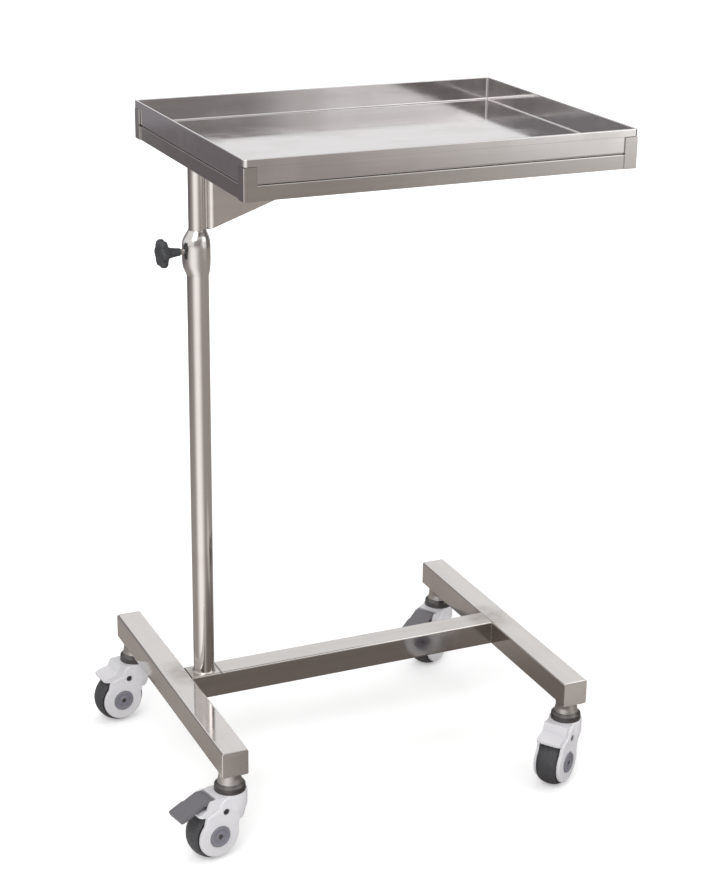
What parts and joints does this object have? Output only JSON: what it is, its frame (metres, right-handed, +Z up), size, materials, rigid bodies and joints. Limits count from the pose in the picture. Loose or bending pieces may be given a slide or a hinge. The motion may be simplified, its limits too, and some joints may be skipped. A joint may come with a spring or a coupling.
{
  "type": "mayo instrument stand",
  "caption": "Wheeled instrument stand: an H base on swivel casters, a telescopic side post with a knob clamp, and a lift-off rectangular tray on an angle frame.",
  "frame": {"origin": "on the floor, under the middle of the whole stand's bounding box", "axes": "+X along the cross rail from the post to the far beam, +Y from front to back, +Z up"},
  "size_m": [0.7247, 0.5295, 1.02],
  "materials": {
    "stainless_tube": "satin",
    "stainless_sheet": "satin",
    "tray_steel": "bright satin",
    "turned_steel": "machined",
    "weld_bead": "ground",
    "collar_zinc": "satin",
    "collar_casting": "satin",
    "bearing_steel": "polished",
    "nylon": "matte",
    "brass_pad": "machined",
    "knob_plastic": "matte",
    "housing_plastic": "satin",
    "cap_plastic": "satin",
    "core_plastic": "matte",
    "tread_rubber": "matte",
    "pedal_plastic": "satin"
  },
  "bodies": {
    "base": {"left_beam": "stainless_tube", "right_beam": "stainless_tube", "cross_rail": "stainless_tube", "beam_end_caps": "stainless_tube", "caster_sockets": "turned_steel", "kingpins": "turned_steel", "swivel_collars": "collar_zinc", "swivel_bearings": "bearing_steel", "lower_post": "stainless_tube", "post_foot_weld": "weld_bead", "post_collar": "collar_casting", "guide_bush": "nylon"},
    "glide": {"glide_sleeve": "nylon"},
    "mast": {"upper_post": "stainless_tube", "gusset_bracket": "stainless_sheet", "centre_bearer": "stainless_tube", "front_rail": "stainless_sheet", "back_rail": "stainless_sheet", "left_rail": "stainless_sheet", "right_rail": "stainless_sheet", "corner_uprights": "stainless_sheet"},
    "tray_pan": {"tray": "tray_steel"},
    "clamp_pad_body": {"clamp_pad": "brass_pad"},
    "clamp_screw": {"clamp_stud": "turned_steel", "clamp_knob": "knob_plastic"},
    "front_left_fork": {"front_left_caster_housing": "housing_plastic", "front_left_cover_screws": "turned_steel", "front_left_axle": "turned_steel", "front_left_hub_caps": "cap_plastic", "front_left_pedal_pin": "turned_steel"},
    "front_left_wheel": {"front_left_wheel_core": "core_plastic", "front_left_wheel_bearings": "bearing_steel", "front_left_tread": "tread_rubber"},
    "front_left_pedal": {"front_left_brake_pedal": "pedal_plastic"},
    "front_right_fork": {"front_right_caster_housing": "housing_plastic", "front_right_cover_screws": "turned_steel", "front_right_axle": "turned_steel", "front_right_hub_caps": "cap_plastic"},
    "front_right_wheel": {"front_right_wheel_core": "core_plastic", "front_right_wheel_bearings": "bearing_steel", "front_right_tread": "tread_rubber"},
    "back_left_fork": {"back_left_caster_housing": "housing_plastic", "back_left_cover_screws": "turned_steel", "back_left_axle": "turned_steel", "back_left_hub_caps": "cap_plastic"},
    "back_left_wheel": {"back_left_wheel_core": "core_plastic", "back_left_wheel_bearings": "bearing_steel", "back_left_tread": "tread_rubber"},
    "back_right_fork": {"back_right_caster_housing": "housing_plastic", "back_right_cover_screws": "turned_steel", "back_right_axle": "turned_steel", "back_right_hub_caps": "cap_plastic", "back_right_pedal_pin": "turned_steel"},
    "back_right_wheel": {"back_right_wheel_core": "core_plastic", "back_right_wheel_bearings": "bearing_steel", "back_right_tread": "tread_rubber"},
    "back_right_pedal": {"back_right_brake_pedal": "pedal_plastic"}
  },
  "joints": [
    {"name": "height_slide", "type": "slide", "parent": "base", "child": "glide", "axis": [0, 0, 1], "range_m": [0, 0.35]},
    {"name": "mast_swivel", "type": "hinge", "parent": "glide", "child": "mast", "pos_m": [-0.22283, 0.02586, 0.3], "axis": [0, 0, 1], "continuous": true},
    {"name": "tray_lift", "type": "slide", "parent": "mast", "child": "tray_pan", "axis": [0, 0, 1], "range_m": [0, 0.08]},
    {"name": "clamp_slide", "type": "slide", "parent": "base", "child": "clamp_pad_body", "axis": [-1, 0, 0], "range_m": [0, 0.0041]},
    {"name": "knob_turn", "type": "hinge", "parent": "clamp_pad_body", "child": "clamp_screw", "pos_m": [-0.27283, 0.02586, 0.842], "axis": [-1, 0, 0], "range_deg": [0, 1152]},
    {"name": "front_left_swivel", "type": "hinge", "parent": "base", "child": "front_left_fork", "pos_m": [-0.26883, -0.20914, 0.09], "axis": [0, 0, 1], "continuous": true},
    {"name": "front_left_roll", "type": "hinge", "parent": "front_left_fork", "child": "front_left_wheel", "pos_m": [-0.29915, -0.21558, 0.04], "axis": [-0.2079, 0.9781, 0], "continuous": true},
    {"name": "front_left_brake", "type": "hinge", "parent": "front_left_fork", "child": "front_left_pedal", "pos_m": [-0.30795, -0.21746, 0.091], "axis": [0.2079, -0.9781, 0], "range_deg": [0, 10]},
    {"name": "front_right_swivel", "type": "hinge", "parent": "base", "child": "front_right_fork", "pos_m": [0.29117, -0.20914, 0.09], "axis": [0, 0, 1], "continuous": true},
    {"name": "front_right_roll", "type": "hinge", "parent": "front_right_fork", "child": "front_right_wheel", "pos_m": [0.26578, -0.22692, 0.04], "axis": [-0.5736, 0.8192, 0], "continuous": true},
    {"name": "back_left_swivel", "type": "hinge", "parent": "base", "child": "back_left_fork", "pos_m": [-0.26883, 0.24086, 0.09], "axis": [0, 0, 1], "continuous": true},
    {"name": "back_left_roll", "type": "hinge", "parent": "back_left_fork", "child": "back_left_wheel", "pos_m": [-0.2996, 0.23708, 0.04], "axis": [-0.1219, 0.9925, 0], "continuous": true},
    {"name": "back_right_swivel", "type": "hinge", "parent": "base", "child": "back_right_fork", "pos_m": [0.29117, 0.24086, 0.09], "axis": [0, 0, 1], "continuous": true},
    {"name": "back_right_roll", "type": "hinge", "parent": "back_right_fork", "child": "back_right_wheel", "pos_m": [0.26517, 0.22398, 0.04], "axis": [-0.5446, 0.8387, 0], "continuous": true},
    {"name": "back_right_brake", "type": "hinge", "parent": "back_right_fork", "child": "back_right_pedal", "pos_m": [0.25763, 0.21908, 0.091], "axis": [0.5446, -0.8387, 0], "range_deg": [0, 10]}
  ],
  "couplings": [
    {"joint": "clamp_slide", "follows": "knob_turn", "m_per_rad": 0.00019894}
  ]
}
